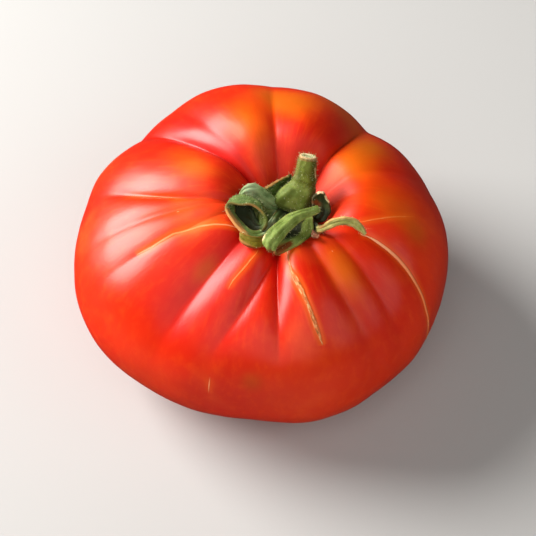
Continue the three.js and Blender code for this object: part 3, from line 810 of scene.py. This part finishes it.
def srgb(screen):
    """A shader colour from red, green and blue screen values of 0 to 255."""
    shares = [value / 255 for value in screen]
    return [((share + 0.055) / 1.055) ** 2.4 if share > 0.04 else share / 12.92 for share in shares] + [1]


# ---------------------------------------------------------------- the skin's material
# Screen colours of the skin, of its cracks and of the blossom scar
DEEP_RED = (216, 32, 2)
BRIGHT_RED = (230, 52, 4)
STREAK_RED = (240, 74, 8)
MOTTLE_RED = (246, 86, 26)
FRECKLE = (250, 98, 36)
# VALLEY_SHADE_RED is painted shade laid deep in the valleys
VALLEY_SHADE_RED = (190, 2, 0)
LATE_ORANGE = (244, 108, 0)
LATE_OLIVE = (160, 96, 0)
BLOSSOM_SCAR = (150, 104, 60)
CRACK_HALO = (252, 112, 12)
CRACK_RIM = (150, 84, 20)
STRAND = (250, 122, 46)
PALE_STRAND = (255, 188, 140)
STRAND_GRAIN = (255, 196, 140)
DARK_FIBRE = (134, 92, 36)
FIBRE = (216, 112, 52)
PALE_FIBRE = (232, 180, 120)


def crack_colours(tree, colour):
    """The skin colour with its healed cracks laid over it, the share of crack, and its grain."""
    off = attribute(tree, "crack_off")
    half = attribute(tree, "crack_half")
    near = attribute(tree, "crack_near")
    gap = maths(tree, "ABSOLUTE", off)
    open_share = product(tree, between(tree, half, 0.02, 0.12), near)
    ratio = maths(tree, "DIVIDE", gap, maths(tree, "MAXIMUM", half, 0.05))
    inside = product(tree, between(tree, ratio, 1.25, 0.65), open_share)
    beside = between(tree, gap, total(tree, half, 1.9), half)
    colour = paint(tree, colour, CRACK_HALO, beside, near, attribute(tree, "crack_halo"), open_share)
    rim_in = between(tree, gap, product(tree, half, 0.75), product(tree, half, 1.1))
    rim_out = between(tree, gap, total(tree, half, 0.45), half)
    colour = paint(tree, colour, CRACK_RIM, rim_in, rim_out, attribute(tree, "crack_rim"), open_share)

    across = product(tree, off, 2.2)
    down_it = product(tree, attribute(tree, "crack_run"), 0.55)
    lie = node(tree, "ShaderNodeCombineXYZ", {"X": across, "Y": down_it}).outputs[0]
    grain = noise_value(tree, lie, 1.0, 4, 0.65)
    strand = blend_colour(tree, attribute(tree, "crack_pale"), srgb(STRAND), srgb(PALE_STRAND))
    strand = paint(tree, strand, STRAND_GRAIN, between(tree, grain, 0.5, 0.7), 0.35)
    fibre = patchy(tree, grain, DARK_FIBRE, FIBRE, 0.36, 0.46)
    fibre = paint(tree, fibre, PALE_FIBRE, between(tree, grain, 0.48, 0.6))
    scar = blend_colour(tree, attribute(tree, "crack_cork"), strand, fibre)
    colour = blend_colour(tree, product(tree, inside, 0.92), colour, scar)
    return colour, inside, grain


def skin_places(tree, axis):
    """The place from the stalk axis, and one stretched so that a pattern on it runs down the fruit."""
    place = object_place(tree)
    centred = node(tree, "ShaderNodeMapping", {"Vector": place, "Location": -axis}).outputs[0]
    flat = node(tree, "ShaderNodeVectorMath", {0: centred, 1: (1, 1, 0)}, operation="MULTIPLY").outputs[0]
    turned = node(tree, "ShaderNodeVectorMath", {0: flat}, operation="NORMALIZE").outputs[0]
    tall = node(tree, "ShaderNodeVectorMath", {0: centred, 1: (4, 4, 16)}, operation="MULTIPLY").outputs[0]
    meridian = node(tree, "ShaderNodeVectorMath", {0: turned, 1: tall}, operation="ADD").outputs[0]
    return centred, meridian


def ripe_colour(tree, centred, streaks, mottle, orange):
    """Reds with streaks, mottle and freckles, painted shade darkening the valleys, and the late orange and
    olive.
    """
    clouds = noise_value(tree, centred, 22, 2)
    freckles = noise_value(tree, centred, 300, 2)
    colour = patchy(tree, clouds, DEEP_RED, BRIGHT_RED, 0.3, 0.7)
    colour = paint(tree, colour, STREAK_RED, between(tree, streaks, 0.45, 0.75), 0.35)
    colour = paint(tree, colour, MOTTLE_RED, between(tree, mottle, 0.5, 0.72), 0.4)
    colour = paint(tree, colour, FRECKLE, between(tree, freckles, 0.54, 0.72), 0.1)
    # painted shade: the skin darkened towards VALLEY_SHADE_RED deep in the valleys
    colour = paint(tree, colour, VALLEY_SHADE_RED, attribute(tree, "valley_shade"), 0.8)
    uneven = total(tree, orange, swing(tree, mottle, 0.5))
    colour = paint(tree, colour, LATE_ORANGE, between(tree, uneven, 0.08, 1.0))
    uneven = total(tree, attribute(tree, "olive"), swing(tree, clouds, 0.4))
    return paint(tree, colour, LATE_OLIVE, between(tree, uneven, 0.1, 1.0), 0.7)


def skin_material(axis):
    material, tree, shader = new_material("tomato_skin", subsurface_weight=0.1, subsurface_scale=0.003,
                                          coat_roughness=0.26, specular_ior_level=0.28)
    shader.inputs["Subsurface Radius"].default_value = (1, 0.2, 0.05)
    centred, meridian = skin_places(tree, axis)
    streaks = noise_value(tree, meridian, 22, 3, 0.55)
    mottle = noise_value(tree, centred, 60, 3)
    orange = attribute(tree, "orange")
    down = attribute(tree, "down")
    colour = ripe_colour(tree, centred, streaks, mottle, orange)
    colour, crack, grain = crack_colours(tree, colour)
    end_grain = noise_value(tree, centred, 700, 4, 0.7)
    blossom = between(tree, total(tree, down, swing(tree, end_grain, 0.03)), 0.955, 0.968)
    colour = paint(tree, colour, BLOSSOM_SCAR, blossom)
    tree.links.new(colour, shader.inputs["Base Color"])

    worn = maths(tree, "MAXIMUM", product(tree, crack, 0.6), blossom)
    near_stalk = between(tree, down, 0.17, 0.1)
    dull = product(tree, maths(tree, "MAXIMUM", orange, near_stalk), 0.5)
    matt = maths(tree, "MAXIMUM", worn, dull)
    rough = total(tree, 0.35, swing(tree, mottle, 0.08), product(tree, matt, 0.4))
    tree.links.new(rough, shader.inputs["Roughness"])
    gloss = product(tree, maths(tree, "SUBTRACT", 1, matt), 0.12)
    tree.links.new(gloss, shader.inputs["Coat Weight"])

    pores = noise_value(tree, centred, 1500, 2, 0.6)
    height = total(tree, product(tree, pores, 0.12), product(tree, streaks, 0.5),
                   product(tree, grain, crack, 0.6), product(tree, end_grain, blossom))
    add_bump(tree, shader, height, 0.35)
    return material


# ---------------------------------------------------------------- the green pieces' materials
# Screen colours of the stalk: its young and its older part, light and dark
STALK_GREEN = (122, 138, 54)
STALK_PALE = (168, 182, 90)
UPPER_GREEN = (86, 90, 14)
UPPER_PALE = (122, 130, 42)
TOP_GREEN = (132, 144, 58)
# RIGHT_SHADE_GREEN is painted shade on the stalk's right side
RIGHT_SHADE_GREEN = (68, 74, 10)
# LEFT_SHADE_GREEN is painted shade that darkens the stalk's lit left side
LEFT_SHADE_GREEN = (76, 92, 30)
FOOT_GREEN = (98, 122, 46)
NECK_LEFT_TAN = (190, 150, 84)
STALK_SPECK = (214, 222, 170)
DRY_EDGE = (150, 112, 62)
# Screen colours of the cut face
WOOD = (226, 214, 164)
PALE_WOOD = (246, 240, 204)
GREEN_WOOD = (186, 210, 150)
SLIT_BROWN = (96, 60, 30)
BARK_INSIDE = (246, 190, 134)
BARK = (176, 136, 84)
# Screen colours of the sepals' spots, by the mark that they follow, and of their specks
SPOTS = {
    # dark_olive_and_shade: dark olive-green, painted shade on the roll's sheet and the sepals' own olive
    # elsewhere
    # pale: a lighter grey-green, partly the sepals' own and partly painted light on the arch's top and on
    # the loop's shaded base
    "pale": (176, 196, 148), "dark_olive_and_shade": (78, 90, 20), "tan": (196, 136, 74), "brown": (124, 60, 8),
    # dark: painted shade for pockets, the insides of the coil and the cup, and the bases under other
    # pieces
    "dark": (24, 34, 4), "cream": (230, 206, 150),
}
SEPAL_SPECK = (206, 216, 160)
HAIR_GREEN = (150, 160, 96)
HAIR_PALE = (206, 208, 160)


def leaf_grain_group():
    """Shared by stalk and sepals: mottle, pale specks and a fine height."""
    group = bpy.data.node_groups.new("leaf_grain", "ShaderNodeTree")
    group.interface.new_socket("Vector", in_out="INPUT", socket_type="NodeSocketVector")
    group.interface.new_socket("Scale", in_out="INPUT", socket_type="NodeSocketFloat")
    for name in ("Mottle", "Specks", "Height"):
        group.interface.new_socket(name, in_out="OUTPUT", socket_type="NodeSocketFloat")
    start = group.nodes.new("NodeGroupInput")
    end = group.nodes.new("NodeGroupOutput")
    inputs = {0: start.outputs["Vector"], "Scale": start.outputs["Scale"]}
    scaled = node(group, "ShaderNodeVectorMath", inputs, operation="SCALE").outputs[0]
    mottle = noise_value(group, scaled, 350, 4, 0.6)
    cells = node(group, "ShaderNodeTexVoronoi", {"Vector": scaled, "Scale": 1100, "Randomness": 1})
    specks = between(group, cells.outputs["Distance"], 0.22, 0.1)
    grouped = between(group, noise_value(group, scaled, 500, 1), 0.5, 0.6)
    specks = product(group, specks, grouped)
    fine = noise_value(group, scaled, 1800, 3, 0.6)
    height = total(group, fine, product(group, mottle, 0.8))
    for name, value in (("Mottle", mottle), ("Specks", specks), ("Height", height)):
        group.links.new(value, end.inputs[name])
    return group


def leaf_start(name, grain):
    """A leaf material with the shared grain placed on the piece's own coordinates."""
    material, tree, shader = new_material(name, sheen_weight=0.05, sheen_roughness=0.5, roughness=0.62,
                                          subsurface_weight=0.08, subsurface_scale=0.0008,
                                          specular_ior_level=0.25)
    leaf = node(tree, "ShaderNodeGroup", node_tree=grain)
    tree.links.new(object_place(tree), leaf.inputs["Vector"])
    leaf.inputs["Scale"].default_value = 1
    add_bump(tree, shader, leaf.outputs["Height"], 0.5)
    return material, tree, shader, leaf.outputs["Mottle"], leaf.outputs["Specks"]


def stalk_side_colour(tree, mottle, specks):
    """Greens of the stalk's side, from its foot up and from its left side round to its right, with painted
    shade on the right side and the lit left side painted darker.
    """
    along = attribute(tree, "along")
    turn = attribute(tree, "turn_x")
    upper = patchy(tree, mottle, UPPER_GREEN, UPPER_PALE)
    colour = patchy(tree, mottle, STALK_GREEN, STALK_PALE)
    colour = blend_colour(tree, between(tree, along, 0.44, 0.62), colour, upper)
    colour = paint(tree, colour, TOP_GREEN, between(tree, along, 0.72, 0.84), 0.5)
    # painted shade over the stalk's right side
    right = between(tree, total(tree, turn, product(tree, mottle, 0.4)), 0.3, 0.9)
    colour = paint(tree, colour, RIGHT_SHADE_GREEN, right, 0.85)
    # pinkish tan over a strip on the left side of the neck
    neck_left_side = between(tree, turn, -0.6, -0.95)
    colour = paint(tree, colour, NECK_LEFT_TAN, neck_left_side, between(tree, along, 0.55, 0.75), 0.35)
    # painted shade: darker green over the lit left side
    left = between(tree, total(tree, turn, product(tree, mottle, 0.3)), 0.15, -0.75)
    colour = paint(tree, colour, LEFT_SHADE_GREEN, left, 0.6)
    colour = paint(tree, colour, FOOT_GREEN, between(tree, along, 0.34, 0.08), 0.75)
    colour = paint(tree, colour, STALK_SPECK, specks, 0.7)
    top = between(tree, total(tree, along, product(tree, mottle, 0.05)), 0.985, 1.0)
    return paint(tree, colour, DRY_EDGE, top, 0.7)


def cut_colour(tree):
    """Pale wood with a green patch, the brown slit in the pith, and the bark's ring round it."""
    x = attribute(tree, "cut_x")
    y = attribute(tree, "cut_y")
    flat = node(tree, "ShaderNodeCombineXYZ", {"X": x, "Y": y}).outputs[0]
    from_middle = node(tree, "ShaderNodeVectorMath", {0: flat}, operation="LENGTH").outputs["Value"]
    colour = patchy(tree, noise_value(tree, flat, 4, 3, 0.6), WOOD, PALE_WOOD)
    green_x = maths(tree, "SUBTRACT", x, 0.3)
    green_y = total(tree, y, 0.35)
    oval = total(tree, product(tree, green_x, green_x, 4), product(tree, green_y, green_y, 14))
    colour = paint(tree, colour, GREEN_WOOD, between(tree, oval, 1.2, 0.3), 0.5)
    slanted = total(tree, maths(tree, "SUBTRACT", x, SLIT_X), product(tree, y, SLIT_SLANT))
    slit_x = maths(tree, "DIVIDE", slanted, 0.5)
    slit_y = maths(tree, "DIVIDE", maths(tree, "SUBTRACT", y, SLIT_Y), 0.4)
    oval = total(tree, product(tree, slit_x, slit_x), product(tree, slit_y, slit_y))
    colour = paint(tree, colour, SLIT_BROWN, between(tree, oval, 1.3, 0.6))
    colour = paint(tree, colour, BARK_INSIDE, between(tree, from_middle, 0.62, 0.9), 0.7)
    return paint(tree, colour, BARK, between(tree, from_middle, 0.92, 1.0))


def stalk_material(grain):
    material, tree, shader, mottle, specks = leaf_start("tomato_stalk", grain)
    cut = between(tree, attribute(tree, "along"), 1.12, 1.18)
    colour = blend_colour(tree, cut, stalk_side_colour(tree, mottle, specks), cut_colour(tree))
    tree.links.new(colour, shader.inputs["Base Color"])
    return material


def sepal_material(name, grain, fresh, pale, rim, withered, rib_share=0.4):
    """Leaf with pale ribs and rim, tan and brown spots, a withered tip, painted shade from its dark spots
    and partly painted light from its pale spots.
    """
    material, tree, shader, mottle, specks = leaf_start(name, grain)
    across = attribute(tree, "edge")
    colour = patchy(tree, mottle, fresh, pale, 0.32, 0.68)
    middle_rib = between(tree, across, 0.2, 0.04)
    side_rib = between(tree, maths(tree, "ABSOLUTE", maths(tree, "SUBTRACT", across, 0.45)), 0.14, 0.03)
    colour = paint(tree, colour, pale, maths(tree, "MAXIMUM", middle_rib, side_rib), rib_share)
    worn_rim = between(tree, total(tree, across, product(tree, mottle, 0.2)), 0.88, 1.06)
    colour = paint(tree, colour, rim, worn_rim, 0.7)
    # The dark spots laid here are painted shade
    for mark, tint in SPOTS.items():
        uneven = total(tree, attribute(tree, mark), product(tree, mottle, 0.3))
        colour = paint(tree, colour, tint, between(tree, uneven, 0.35, 0.9))
    tint, dry_from = withered
    dried = total(tree, attribute(tree, "along"), swing(tree, mottle, 0.2))
    colour = paint(tree, colour, tint, between(tree, dried, dry_from, dry_from + 0.06))
    # specks are left out of the painted shade of the dark spots
    outside_painted_shade = between(tree, attribute(tree, "dark"), 0.5, 0.1)
    colour = paint(tree, colour, SEPAL_SPECK, specks, outside_painted_shade, 0.7)
    tree.links.new(colour, shader.inputs["Base Color"])
    return material


def hair_material():
    material, tree, shader = new_material("calyx_hairs", roughness=0.5, specular_ior_level=0.3)
    colour = patchy(tree, noise_value(tree, object_place(tree), 900, 1), HAIR_GREEN, HAIR_PALE)
    tree.links.new(colour, shader.inputs["Base Color"])
    return material


# ---------------------------------------------------------------- the tomato
CREAM = (222, 178, 122)
NEVER = 1.2  # a share of the length past the tip
# Leaf looks: fresh, pale, rim, (withered colour, from this share of the length on), ribs, spots.
# Spots: mark, share of the length, place across, half length, half width, strength
# The "dark" spots are painted shade: in the roll's hole, inside the loop's coil, along its far side and at
# its base, inside the cup and the curl, and at the bases of the right arch and the shred.
# The "pale" spots are partly painted light: a painted highlight on the left arch's top and lightening on
# the left loop's shaded base.
LEAF_LOOKS = {
    "sepal_front_roll": ((92, 112, 34), (140, 160, 78), (150, 150, 66), (CREAM, 0.965), 0.5, (
        ("dark_olive_and_shade", 0.17, 0, 0.1, 3, 1.1), ("brown", 0.42, 0.3, 0.08, 0.9, 1.2),
        ("cream", 0.55, -1, 0.035, 0.3, 0.9), ("dark", 0.2, -1, 0.15, 0.95, 1.6),
        ("brown", 0.33, 0.3, 0.04, 0.5, 0.6))),
    "sepal_left_loop": ((68, 90, 34), (106, 128, 62), (134, 108, 52), (CREAM, NEVER), 0.3, (
        ("pale", 0.1, 0, 0.045, 3, 1.1), ("dark_olive_and_shade", 0.7, 0, 0.07, 3, 0.8), ("dark_olive_and_shade", 0.2, 0, 0.045, 3, 0.6),
        ("dark", 0, 0, 0.04, 3, 0.8), ("tan", 0.32, 0.6, 0.075, 0.9, 1.3), ("tan", 0.6, 1, 0.1, 0.3, 0.5),
        ("dark", 0.95, 0, 0.17, 3, 1.4), ("dark", 0.55, -1.1, 0.25, 0.4, 0.6))),
    "sepal_left_arch": ((92, 120, 68), (148, 172, 114), (150, 160, 100), (CREAM, NEVER), 0.3, (
        ("pale", 0.65, 0, 0.22, 3, 0.65),)),
    "sepal_back_cup": ((46, 72, 12), (84, 106, 38), (66, 80, 22), (CREAM, 0.97), 0.2, (
        ("tan", 0.6, 1.05, 0.5, 0.12, 0.7), ("dark", 0.45, 0.2, 0.12, 0.5, 0.6))),
    # The right curl's dark greens are partly its own colour and partly painted shade
    "sepal_right_curl": ((40, 52, 14), (60, 70, 26), (70, 60, 24), ((240, 214, 168), 0.9), 0.2, (
        ("brown", 0.5, -0.5, 0.12, 0.6, 0.9), ("cream", 0.72, 1, 0.14, 0.22, 1.2),
        ("dark", 0.2, 0, 0.22, 2, 1.2))),
    "sepal_right_arch": ((142, 144, 66), (192, 182, 108), (196, 150, 86), (CREAM, 0.96), 0.3, (
        ("tan", 0.3, 0.5, 0.1, 0.8, 0.6), ("dark", 0.06, 0, 0.1, 3, 1.4))),
    "sepal_left_flap": ((118, 104, 14), (142, 122, 32), (176, 98, 20), ((150, 96, 30), NEVER), 0.1, (
        ("dark_olive_and_shade", 0.4, -0.8, 0.6, 0.5, 0.5), ("tan", 0.75, 0.8, 0.35, 0.6, 0.6),
        ("brown", 0.6, 1.2, 0.6, 0.4, 0.7))),
    "sepal_dry_shred": ((110, 56, 34), (146, 88, 60), (120, 64, 36), ((190, 128, 92), 0.86), 0.2, (
        ("dark", 0.1, 0, 0.22, 3, 1.3),)),
}
# The calyx plate's dark greens are partly its own colour and partly painted shade of the calyx floor
PLATE_LOOK = ((50, 66, 20), (92, 108, 50), (96, 92, 40), (CREAM, NEVER), 0.1)
PEEL_LOOK = ((176, 150, 96), (226, 206, 152), (150, 112, 66), (CREAM, 0.9), 0.2)
# How strongly a sepal is crinkled and ribbed, where that isn't 1
CRUMPLE = {"sepal_left_flap": 0.4}
PEEL_CRUMPLE = 0.4
# Every sepal has its own pattern of crinkles: these set the patterns apart
SEED_STEP = 1.7
PEEL_SEED = 21


def show(piece, material, body_node):
    piece.data.materials.append(material)
    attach(piece, "root")
    if body_node:
        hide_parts(body_node)
    return piece


fruit, stalk_axis = build_fruit()
show(fruit, skin_material(stalk_axis), "fruit")

grain_group = leaf_grain_group()
stalk = show(build_stalk(stalk_axis), stalk_material(grain_group), "stalk")

leaves = {}
for number, (name, stations) in enumerate(SEPALS.items()):
    *look, spots = LEAF_LOOKS[name]
    leaf = build_sepal(name + "_leaf", stations, stalk_axis, number * SEED_STEP, spots,
                       crumple=CRUMPLE.get(name, 1))
    finish = sepal_material(name + "_leaf", grain_group, *look)
    leaves[name] = show(leaf, finish, name)

plate_finish = sepal_material("calyx_plate_leaf", grain_group, *PLATE_LOOK)
plate = show(build_plate(stalk_axis), plate_finish, "calyx_plate")

peel = build_sepal("stalk_peel", PEEL, stalk_axis, PEEL_SEED, thickness=PEEL_THICKNESS,
                   crumple=PEEL_CRUMPLE)
show(peel, sepal_material("stalk_peel", grain_group, *PEEL_LOOK), None)

hairs = build_hairs({"stalk": stalk, **leaves})
show(hairs, hair_material(), None)


# ---------------------------------------------------------------- stage, in metres and degrees
FLOOR_SIZE = 2
FLOOR_GREY = (0.5, 0.5, 0.49, 1)
# Round soft lights: name, azimuth, elevation, distance, size, power, colour
LIGHTS = (
    ("key", 158, 32, 0.9, 0.65, 19.5, (1, 0.97, 0.94)),
    ("side", 338, 34, 1.1, 0.68, 1.6, (1, 0.98, 0.96)),
    ("sky", 262, 48, 1.2, 1.35, 4.2, (1, 0.98, 0.95)),
    ("fill", 275, 48, 1.2, 1.35, 3.3, (1, 0.98, 0.95)),
)
WITHOUT_REFLECTION = ("fill",)  # lights that the skin doesn't mirror
WORLD_WHITE = (1, 1, 1, 1)
WORLD_STRENGTH = 0.035
TARGET_HEIGHT = 0.03
CAMERA_ELEVATION = 52
CAMERA_DISTANCE = 0.4
CAMERA_SENSOR = 36
CAMERA_LENS = 94.6
CAMERA_SHIFT = (-0.0235, -0.029)
CAMERA_NEAREST = 0.01  # nearest distance that it sees


def build_floor():
    bm = bmesh.new()
    bmesh.ops.create_grid(bm, x_segments=1, y_segments=1, size=FLOOR_SIZE)
    floor = finish_mesh(bm, "floor")
    material, _, shader = new_material("floor_paint", roughness=0.9)
    shader.inputs["Base Color"].default_value = FLOOR_GREY
    floor.data.materials.append(material)
    floor.visible_glossy = False


def add_light(target, name, azimuth, elevation, distance, size, power, colour):
    """A round soft light that looks at the target from a direction."""
    light = bpy.data.lights.new(name, "AREA")
    light.shape = "DISK"
    light.size = size
    light.energy = power
    light.color = colour
    holder = bpy.data.objects.new(name, light)
    bpy.context.scene.collection.objects.link(holder)
    turn, tilt = math.radians(azimuth), math.radians(elevation)
    aim = Vector((math.cos(turn) * math.cos(tilt), math.sin(turn) * math.cos(tilt), math.sin(tilt)))
    holder.location = target + aim * distance
    holder.rotation_euler = aim.to_track_quat("Z", "Y").to_euler()
    holder.visible_glossy = name not in WITHOUT_REFLECTION


def build_world(scene):
    world = bpy.data.worlds.new("studio")
    world.use_nodes = True
    background = world.node_tree.nodes["Background"]
    background.inputs["Color"].default_value = WORLD_WHITE
    background.inputs["Strength"].default_value = WORLD_STRENGTH
    scene.world = world


def build_camera(scene, target):
    camera = bpy.data.cameras.new("camera")
    holder = bpy.data.objects.new("camera", camera)
    scene.collection.objects.link(holder)
    elevation = math.radians(CAMERA_ELEVATION)
    back = Vector((0, -math.cos(elevation), math.sin(elevation)))
    holder.location = target + back * CAMERA_DISTANCE
    holder.rotation_euler = back.to_track_quat("Z", "Y").to_euler()
    camera.sensor_width = CAMERA_SENSOR
    camera.lens = CAMERA_LENS
    camera.shift_x, camera.shift_y = CAMERA_SHIFT
    camera.clip_start = CAMERA_NEAREST
    scene.camera = holder


def build_stage(axis):
    scene = bpy.context.scene
    scene.view_settings.view_transform = "Standard"
    target = axis + Vector((0, 0, TARGET_HEIGHT))
    build_floor()
    for light in LIGHTS:
        add_light(target, *light)
    build_world(scene)
    build_camera(scene, target)


build_stage(stalk_axis)
